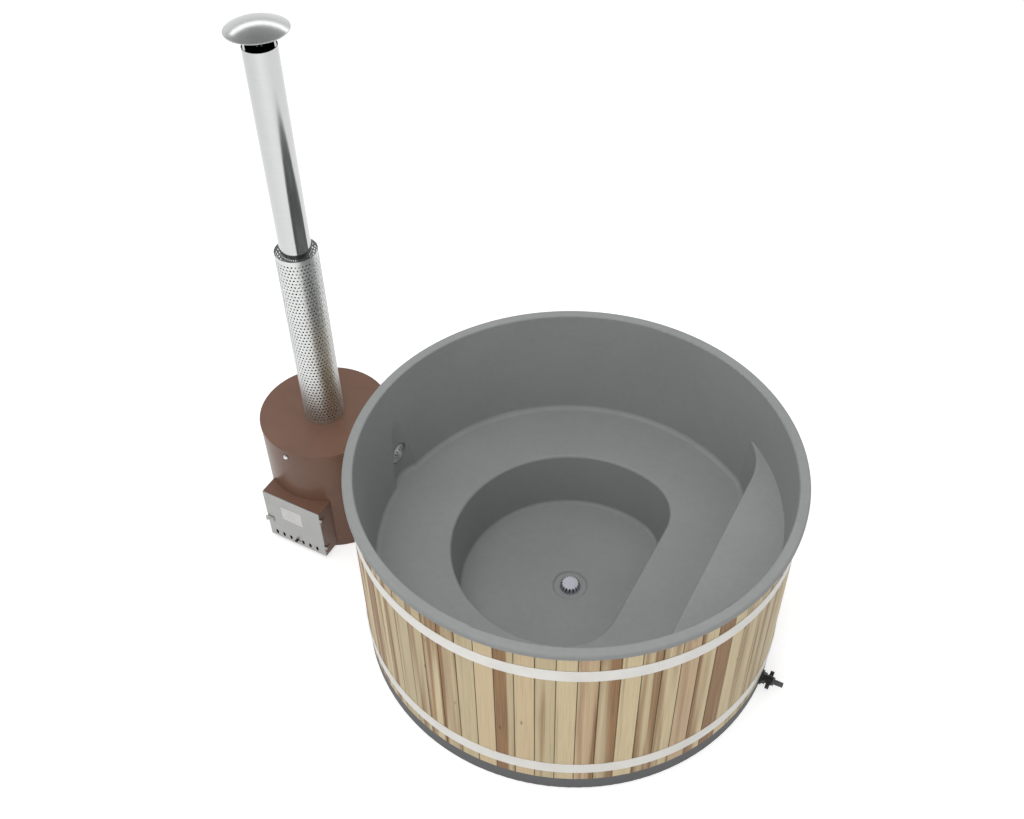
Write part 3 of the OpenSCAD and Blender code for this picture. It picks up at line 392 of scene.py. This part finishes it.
def sawn_timber(name, colour):
    """Sawn softwood or plywood inside the base: dry, matt and fibrous along X."""
    material, tree, shader, place = new_material(name)
    # Fibres 5 mm wide and 110 mm long
    drawn_out = add(tree, "ShaderNodeMapping", {"Vector": place}, in_Scale=(3, 60, 60))
    grain = add(
        tree, "ShaderNodeTexNoise", {"Vector": (drawn_out, 0)}, in_Scale=3.0, in_Detail=6.0
    )
    tone = add(
        tree, "ShaderNodeValToRGB", {"Fac": (grain, "Fac")},
        stops=[(0.3, shade(colour, 0.7)), (0.55, colour), (0.75, shade(colour, 1.15))],
    )
    relief = add(
        tree, "ShaderNodeBump", {"Height": (grain, "Fac")}, in_Distance=0.0006, in_Strength=0.6
    )
    shader.inputs["Roughness"].default_value = 0.75
    feed(tree, shader, {"Base Color": (tone, "Color"), "Normal": (relief, "Normal")})
    return material


def powder_coat(name, colour, roughness, ior=1.5):
    """Baked powder paint on sheet metal: even colour, a fine orange peel and slight grime."""
    material, tree, shader, place = new_material(name)
    # Grime in clouds of 140 mm
    cloud = add(tree, "ShaderNodeTexNoise", {"Vector": place}, in_Scale=7.0, in_Detail=5.0)
    tone = add(
        tree, "ShaderNodeValToRGB", {"Fac": (cloud, "Fac")},
        stops=[(0.3, shade(colour, 0.94)), (0.5, colour), (0.7, shade(colour, 1.05))],
    )
    rough = add(
        tree, "ShaderNodeMapRange", {"Value": (cloud, "Fac")},
        in_3=roughness - 0.05, in_4=roughness + 0.07,
    )
    # Orange peel of 1.4 mm
    peel = add(tree, "ShaderNodeTexNoise", {"Vector": place}, in_Scale=700.0, in_Detail=1.0)
    relief = add(
        tree, "ShaderNodeBump", {"Height": (peel, "Fac")}, in_Distance=0.00012, in_Strength=0.4
    )
    shader.inputs["IOR"].default_value = ior
    feed(tree, shader, {
        "Base Color": (tone, "Color"), "Roughness": (rough, 0), "Normal": (relief, "Normal"),
    })
    return material


def rolled_steel(name, colour, roughness, grain=(8, 8, 900)):
    """Rolled stainless sheet: a mirror softened by fine lines along the rolling direction and
    faint clouds from handling. Grain is the lines to the metre along each axis: 900 is a line
    for each 1.1 mm, drawn that coarse so that it shows."""
    material, tree, shader, place = new_material(name)
    rolled = add(tree, "ShaderNodeMapping", {"Vector": place}, in_Scale=grain)
    lines = add(
        tree, "ShaderNodeTexNoise", {"Vector": (rolled, 0)}, in_Scale=1.0, in_Detail=3.0
    )
    tone = add(
        tree, "ShaderNodeValToRGB", {"Fac": (lines, "Fac")},
        stops=[(0.3, shade(colour, 0.93)), (0.6, colour)],
    )
    # Clouds of 110 mm
    cloud = add(tree, "ShaderNodeTexNoise", {"Vector": place}, in_Scale=9.0, in_Detail=4.0)
    rough = add(
        tree, "ShaderNodeMapRange", {"Value": (cloud, "Fac")},
        in_3=roughness * 0.8, in_4=roughness * 1.35,
    )
    relief = add(
        tree, "ShaderNodeBump", {"Height": (lines, "Fac")}, in_Distance=0.00005, in_Strength=0.3
    )
    shader.inputs["Metallic"].default_value = 1.0
    feed(tree, shader, {
        "Base Color": (tone, "Color"), "Roughness": (rough, 0), "Normal": (relief, "Normal"),
    })
    return material


def moulded_plastic(name, colour, roughness):
    """Injection-moulded glass-filled nylon or PVC: semi-gloss with a fine spark-eroded
    grain, and paler where hands wear it."""
    material, tree, shader, place = new_material(name)
    # Wear in patches of 30 mm
    wear = add(tree, "ShaderNodeTexNoise", {"Vector": place}, in_Scale=35.0, in_Detail=4.0)
    tone = add(
        tree, "ShaderNodeValToRGB", {"Fac": (wear, "Fac")},
        stops=[(0.35, colour), (0.75, shade(colour, 1.5))],
    )
    rough = add(
        tree, "ShaderNodeMapRange", {"Value": (wear, "Fac")},
        in_3=roughness - 0.08, in_4=roughness + 0.1,
    )
    # Grain of 1.1 mm
    fine = add(tree, "ShaderNodeTexNoise", {"Vector": place}, in_Scale=900.0, in_Detail=2.0)
    relief = add(
        tree, "ShaderNodeBump", {"Height": (fine, "Fac")}, in_Distance=0.0001, in_Strength=0.35
    )
    shader.inputs["IOR"].default_value = 1.5
    feed(tree, shader, {
        "Base Color": (tone, "Color"), "Roughness": (rough, 0), "Normal": (relief, "Normal"),
    })
    return material


def black_rubber(name):
    """Fabric-reinforced rubber hose: dull black with rings from the wrap it was cured in."""
    material, tree, shader, place = new_material(name)
    # Rings 4 mm apart
    wrap = add(
        tree, "ShaderNodeTexWave", {"Vector": place},
        bands_direction="X", in_Scale=80.0, in_Distortion=0.6,
    )
    tone = add(
        tree, "ShaderNodeValToRGB", {"Fac": (wrap, "Fac")},
        stops=[(0.2, linear("161616")), (0.8, linear("242424"))],
    )
    relief = add(
        tree, "ShaderNodeBump", {"Height": (wrap, "Fac")}, in_Distance=0.0006, in_Strength=0.5
    )
    shader.inputs["Roughness"].default_value = 0.7
    feed(tree, shader, {"Base Color": (tone, "Color"), "Normal": (relief, "Normal")})
    return material


def scaled_iron(name, colour, roughness, metallic):
    """Cast iron or mild steel from the fire side: scale, soot and a little rust."""
    material, tree, shader, place = new_material(name)
    # Flakes of 17 mm and finer
    scale = add(tree, "ShaderNodeTexNoise", {"Vector": place}, in_Scale=60.0, in_Detail=8.0)
    tone = add(
        tree, "ShaderNodeValToRGB", {"Fac": (scale, "Fac")},
        stops=[(0.3, shade(colour, 0.5)), (0.55, colour), (0.72, linear("5a3d2c"))],
    )
    relief = add(
        tree, "ShaderNodeBump", {"Height": (scale, "Fac")}, in_Distance=0.0008, in_Strength=0.6
    )
    shader.inputs["Roughness"].default_value = roughness
    shader.inputs["Metallic"].default_value = metallic
    feed(tree, shader, {"Base Color": (tone, "Color"), "Normal": (relief, "Normal")})
    return material


# Meshes -------------------------------------------------------------------------------------


def new_piece(name, verts, faces, material, body, replaced=()):
    """A mesh piece in the frame's place, riding on its body."""
    mesh = bpy.data.meshes.new(name)
    mesh.from_pydata(verts, [], faces)
    mesh.validate()
    mesh.update()
    piece = bpy.data.objects.new(name, mesh)
    bpy.context.collection.objects.link(piece)
    mesh.materials.append(material)
    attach(piece, body)
    if replaced:
        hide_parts(*replaced)
    return piece


def perforated_tube(cx, cy, z0, z1, r_out, pitch, row_pitch, hole_d):
    """A tube with staggered rows of round holes: each hole is an eight-sided opening in its
    own cell, with an outer skin, an inner skin and the hole's edge between them."""
    columns = round(2 * math.pi * r_out / pitch)
    holed_height = z1 - z0 - 2 * GUARD_MARGIN
    rows = round(holed_height / row_pitch)
    cell_w = 2 * math.pi / columns
    cell_h = holed_height / rows
    verts, faces, known = [], [], {}

    def point(angle, z, inner):
        r = r_out - GUARD_SHEET if inner else r_out
        verts.append((cx + r * math.cos(angle), cy + r * math.sin(angle), z))
        return len(verts) - 1

    def corner(half_u, half_v, inner):
        """A point that cells share, counted in half cells from the first one."""
        key = (half_u % (2 * columns), half_v, inner)
        if key not in known:
            z = z0 + GUARD_MARGIN + half_v * cell_h / 2
            if half_v < 0:
                z = z0
            if half_v > 2 * rows:
                z = z1
            known[key] = point(key[0] * cell_w / 2, z, inner)
        return known[key]

    # The cell's outline in half cells, in step with the hole's corners
    ring = [(2, 1), (2, 2), (1, 2), (0, 2), (0, 1), (0, 0), (1, 0), (2, 0)]
    for row in range(rows):
        for column in range(columns):
            u0 = 2 * column + row % 2
            skins = []
            for inner in (False, True):
                outer = [corner(u0 + du, 2 * row + dv, inner) for du, dv in ring]
                hole = []
                for k in range(HOLE_SIDES):
                    a = 2 * math.pi / HOLE_SIDES * k
                    hole.append(
                        point(
                            (u0 + 1) * cell_w / 2 + hole_d / 2 * math.cos(a) / r_out,
                            z0 + GUARD_MARGIN + (row + 0.5) * cell_h + hole_d / 2 * math.sin(a),
                            inner,
                        )
                    )
                skins.append(hole)
                for k in range(HOLE_SIDES):
                    n = (k + 1) % HOLE_SIDES
                    quad = [outer[k], outer[n], hole[n], hole[k]]
                    faces.append(quad[::-1] if inner else quad)
            for k in range(HOLE_SIDES):
                n = (k + 1) % HOLE_SIDES
                faces.append([skins[0][k], skins[0][n], skins[1][n], skins[1][k]])

    # The plain strips below and above the holes, each closed at its free edge
    for low, high in ((-1, 0), (2 * rows, 2 * rows + 1)):
        for u in range(2 * columns):
            outer = [corner(u, low, False), corner(u + 1, low, False),
                     corner(u + 1, high, False), corner(u, high, False)]
            inner = [corner(u, low, True), corner(u + 1, low, True),
                     corner(u + 1, high, True), corner(u, high, True)]
            faces.append(outer)
            faces.append(inner[::-1])
            if low < 0:
                faces.append([outer[0], inner[0], inner[1], outer[1]])
            else:
                faces.append([outer[2], inner[2], inner[3], outer[3]])
    return verts, faces


def dress(material, *names):
    """Gives CAD nodes a material in their own slots."""
    for name in names:
        slots = NODES[name].material_slots
        if not slots:
            raise RuntimeError("no material slot on " + name)
        for slot in slots:
            slot.material = material


# Stage --------------------------------------------------------------------------------------


def lay_floor():
    """A pale floor that shows as white and keeps the object's shadow."""
    bpy.ops.mesh.primitive_plane_add(size=FLOOR_SIDE, location=(0, 0, -FLOOR_DROP))
    floor = bpy.context.object
    floor.name = "pale_floor"
    material = bpy.data.materials.new("white_floor")
    tree = empty_tree(material)
    diffuse = add(tree, "ShaderNodeBsdfDiffuse", in_Color=grey(FLOOR_GREY))
    level = add(
        tree, "ShaderNodeMath", {0: (seen_rays(tree), 0)},
        operation="MULTIPLY", in_1=FLOOR_GLOW,
    )
    glow = add(tree, "ShaderNodeEmission", {"Strength": (level, 0)}, in_Color=grey(1.0))
    both = add(tree, "ShaderNodeAddShader", {0: (diffuse, 0), 1: (glow, 0)})
    add(tree, "ShaderNodeOutputMaterial", {"Surface": (both, 0)})
    floor.data.materials.append(material)


def surround(scene):
    """White walls round the studio that pass into a grey ceiling, which gives the metal its
    darker tones. What they light is lit by a plain even room."""
    world = bpy.data.worlds.new("soft_studio")
    scene.world = world
    tree = empty_tree(world)
    room = add(tree, "ShaderNodeBackground", in_Color=grey(1.0), in_Strength=ROOM_LIGHT)
    where = add(tree, "ShaderNodeTexCoord")
    upward = add(tree, "ShaderNodeSeparateXYZ", {"Vector": (where, "Generated")})
    walls = add(
        tree, "ShaderNodeValToRGB", {"Fac": (upward, "Z")},
        stops=[(0.3, grey(1.0)), (0.55, grey(0.58)), (1.0, grey(0.32))],
    )
    shown = add(tree, "ShaderNodeBackground", {"Color": (walls, "Color")}, in_Strength=1.0)
    mix = add(
        tree, "ShaderNodeMixShader", {0: (seen_rays(tree), 0), 1: (room, 0), 2: (shown, 0)}
    )
    add(tree, "ShaderNodeOutputWorld", {"Surface": (mix, 0)})


def hang_lamps(scene):
    """Soft lamps over, in front of and behind the object."""
    for name, place, width, height, power, on_metal in LAMPS:
        lamp = bpy.data.lights.new(name, "AREA")
        lamp.shape = "RECTANGLE"
        lamp.size = width
        lamp.size_y = height
        lamp.energy = power
        holder = bpy.data.objects.new(name, lamp)
        scene.collection.objects.link(holder)
        holder.location = place
        holder.visible_glossy = on_metal
        direction = LAMP_TARGET - holder.location
        holder.rotation_euler = direction.to_track_quat("-Z", "Y").to_euler()


def set_camera(scene):
    """The camera at the photograph's place and angle."""
    camera = bpy.data.cameras.new("photo_camera")
    camera.sensor_fit = "HORIZONTAL"
    camera.sensor_width = CAMERA_SENSOR
    camera.lens = CAMERA_LENS
    camera.clip_end = CAMERA_REACH
    holder = bpy.data.objects.new("photo_camera", camera)
    scene.collection.objects.link(holder)
    holder.matrix_world = (
        Matrix.Translation(CAMERA_PLACE)
        @ Matrix.Rotation(math.radians(CAMERA_TURN), 4, "Z")
        @ Matrix.Rotation(math.radians(CAMERA_TILT), 4, "X")
        @ Matrix.Rotation(math.radians(CAMERA_ROLL), 4, "Z")
    )
    scene.camera = holder
    scene.view_settings.view_transform = "Standard"


# Operators ----------------------------------------------------------------------------------


class HotTubOperator:
    bl_options = {"REGISTER", "UNDO"}


class HOTTUB_OT_liner(HotTubOperator, Operator):
    """Give the liner and the base their moulded polyethylene"""

    bl_idname = "hot_tub.liner"
    bl_label = "Liner and base"

    def execute(self, context):
        colours = context.scene.hot_tub_colours
        liner = moulded_polyethylene("liner_polyethylene", tuple(colours.liner), 0.6)
        base = moulded_polyethylene("base_polyethylene", tuple(colours.base), 0.65)
        dress(liner, "liner")
        dress(base, "base_pan")
        return {"FINISHED"}


class HOTTUB_OT_stave_wall(HotTubOperator, Operator):
    """Give the staves, the timbers under the liner and the hoops their finishes"""

    bl_idname = "hot_tub.stave_wall"
    bl_label = "Stave wall and hoops"

    def execute(self, context):
        colours = context.scene.hot_tub_colours
        boards = spruce_boards(
            "oiled_spruce_boards", tuple(colours.sapwood), tuple(colours.heartwood),
            context.scene.hot_tub_sizes.stave_count,
        )
        coating = powder_coat("hoop_powder_coat", tuple(colours.hoop), 0.42)
        zinc = rolled_steel("zinc_plated_steel", linear("a9abad"), 0.35, (60, 60, 60))
        dress(boards, "wall_staves", "inlet_staves")
        dress(sawn_timber("sawn_spruce", linear("b99a6b")), "floor_bearers")
        dress(sawn_timber("birch_plywood", linear("c2a06e")), "floor_deck", "bench_ribs")
        dress(coating, "upper_hoop", "lower_hoop")
        dress(zinc, "hoop_bolts")
        return {"FINISHED"}


class HOTTUB_OT_drain(HotTubOperator, Operator):
    """Give the drain, its pipes and its valve their finishes"""

    bl_idname = "hot_tub.drain"
    bl_label = "Drain and valve"

    def execute(self, context):
        polished = rolled_steel("polished_stainless", linear("bfc2c9"), 0.34, (200, 200, 200))
        pvc = moulded_plastic("grey_pvc", linear("6a6c6d"), 0.45)
        nylon = moulded_plastic("black_nylon", linear("141415"), 0.38)
        tail = moulded_plastic("hose_tail_nylon", linear("47494b"), 0.42)
        dress(polished, "drain_strainer", "drain_body")
        dress(pvc, "drain_nut", "drain_tee", "drain_pipe", "suction_pipe")
        dress(nylon, "valve_body", "valve_wing")
        dress(tail, "hose_tail")
        return {"FINISHED"}


class HOTTUB_OT_water_fittings(HotTubOperator, Operator):
    """Give the return fitting, the nuts, the hoses and their clamps their finishes"""

    bl_idname = "hot_tub.water_fittings"
    bl_label = "Water fittings"

    def execute(self, context):
        polished = rolled_steel(
            "polished_fitting_steel", linear("eceeef"), 0.32, (200, 200, 200)
        )
        nylon = moulded_plastic("fitting_nut_nylon", linear("3c3e40"), 0.45)
        clamp = rolled_steel("clamp_steel", linear("b4b6b7"), 0.25, (60, 900, 60))
        dress(polished, "return_fitting", "return_grille")
        dress(nylon, "fitting_nuts")
        dress(black_rubber("epdm_rubber"), "return_hose", "suction_hose")
        dress(clamp, "hose_clamps")
        return {"FINISHED"}


class HOTTUB_OT_stove(HotTubOperator, Operator):
    """Give the stove's jacket, lid, vessel and firebox their finishes"""

    bl_idname = "hot_tub.stove"
    bl_label = "Stove"

    def execute(self, context):
        colours = context.scene.hot_tub_colours
        paint = powder_coat("brown_stove_paint", tuple(colours.paint), 0.3, ior=1.3)
        screw = rolled_steel("screw_stainless", linear("e6e6e4"), 0.18, (200, 200, 200))
        vessel = rolled_steel("vessel_aluminium", linear("c9cbcc"), 0.38, (8, 8, 300))
        steel = scaled_iron("sooted_mild_steel", linear("2c2826"), 0.7, 0.3)
        grate = scaled_iron("cast_grate_iron", linear("3a3431"), 0.8, 0.4)
        dress(paint, "stove_jacket", "stove_lid", "stoke_box")
        dress(screw, "jacket_screws")
        dress(vessel, "water_vessel")
        dress(steel, "firebox", "front_frame", "door_baffle", "stove_base", "vessel_legs")
        dress(grate, "fire_grate")
        return {"FINISHED"}


class HOTTUB_OT_fire_door(HotTubOperator, Operator):
    """Give the fire door and its air slider their finishes"""

    bl_idname = "hot_tub.fire_door"
    bl_label = "Fire door"

    def execute(self, context):
        steel = rolled_steel("brushed_door_steel", linear("a9a9a7"), 0.42, (6, 6, 600))
        pin = rolled_steel("pin_steel", linear("9d9fa1"), 0.35, (60, 60, 60))
        plate = powder_coat("blank_label_plate", linear("d9d9d6"), 0.5)
        knob = moulded_plastic("knob_phenolic", linear("1d1c1c"), 0.4)
        dress(steel, "stoke_door", "door_handle", "slider_rails", "air_slider")
        dress(pin, "hinge_pins", "baffle_spacers")
        dress(plate, "label_plate")
        dress(knob, "slider_knob")
        return {"FINISHED"}


class HOTTUB_OT_flue(HotTubOperator, Operator):
    """Give the flue pipes, the rain cap and its bracket their rolled stainless sheet"""

    bl_idname = "hot_tub.flue"
    bl_label = "Flue and rain cap"

    def execute(self, context):
        stainless = tuple(context.scene.hot_tub_colours.stainless)
        sheet = rolled_steel("flue_stainless", stainless, 0.13)
        spun = rolled_steel("spun_stainless", stainless, 0.2, (60, 60, 60))
        stud = rolled_steel("stud_steel", linear("a9abad"), 0.35, (60, 60, 60))
        dress(sheet, "flue_collar", "lower_flue_pipe", "upper_flue_pipe", "cap_bracket")
        dress(spun, "rain_cap")
        dress(stud, "guard_spacers")
        return {"FINISHED"}


class HOTTUB_OT_heat_guard(HotTubOperator, Operator):
    """Build the heat guard from perforated stainless sheet with its full number of holes"""

    bl_idname = "hot_tub.heat_guard"
    bl_label = "Heat guard"

    def execute(self, context):
        sizes = context.scene.hot_tub_sizes
        low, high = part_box("heat_guard")
        verts, faces = perforated_tube(
            (low[0] + high[0]) / 2, (low[1] + high[1]) / 2, low[2], high[2],
            (high[0] - low[0]) / 2, sizes.hole_pitch, sizes.row_pitch, sizes.hole_diameter,
        )
        steel = rolled_steel("perforated_stainless", linear("d9dbda"), 0.4, (60, 60, 60))
        piece = new_piece(
            "perforated_heat_guard", verts, faces, steel, "tub",
            ["heat_guard"],
        )
        piece.data.shade_smooth()
        piece.data.set_sharp_from_angle(angle=GUARD_SHARP_ANGLE)
        return {"FINISHED"}


class HOTTUB_OT_stage(HotTubOperator, Operator):
    """Set the pale floor, the soft lights and the camera at the photograph's angle"""

    bl_idname = "hot_tub.stage"
    bl_label = "Floor, lights and camera"

    def execute(self, context):
        lay_floor()
        surround(context.scene)
        hang_lamps(context.scene)
        set_camera(context.scene)
        return {"FINISHED"}


class HOTTUB_PT_looks(Panel):
    """Lists the hot tub's settings and the steps that dress it"""

    bl_label = "Hot Tub"
    bl_idname = "HOTTUB_PT_looks"
    bl_space_type = "VIEW_3D"
    bl_region_type = "UI"
    bl_category = "Hot Tub"

    def draw(self, context):
        for group in (context.scene.hot_tub_sizes, context.scene.hot_tub_colours):
            box = self.layout.box()
            for key in group.__annotations__:
                box.prop(group, key)
        for operator in OPERATORS:
            self.layout.operator(operator.bl_idname)


OPERATORS = (
    HOTTUB_OT_liner,
    HOTTUB_OT_stave_wall,
    HOTTUB_OT_drain,
    HOTTUB_OT_water_fittings,
    HOTTUB_OT_stove,
    HOTTUB_OT_fire_door,
    HOTTUB_OT_flue,
    HOTTUB_OT_heat_guard,
    HOTTUB_OT_stage,
)
CLASSES = (HotTubSizes, HotTubColours, *OPERATORS, HOTTUB_PT_looks)


def register():
    for cls in CLASSES:
        bpy.utils.register_class(cls)
    bpy.types.Scene.hot_tub_sizes = PointerProperty(type=HotTubSizes)
    bpy.types.Scene.hot_tub_colours = PointerProperty(type=HotTubColours)


def unregister():
    del bpy.types.Scene.hot_tub_colours
    del bpy.types.Scene.hot_tub_sizes
    for cls in reversed(CLASSES):
        bpy.utils.unregister_class(cls)


def main():
    register()
    for operator in (
        bpy.ops.hot_tub.liner,
        bpy.ops.hot_tub.stave_wall,
        bpy.ops.hot_tub.drain,
        bpy.ops.hot_tub.water_fittings,
        bpy.ops.hot_tub.stove,
        bpy.ops.hot_tub.fire_door,
        bpy.ops.hot_tub.flue,
        bpy.ops.hot_tub.heat_guard,
        bpy.ops.hot_tub.stage,
    ):
        operator()


if __name__ == "__main__":
    main()
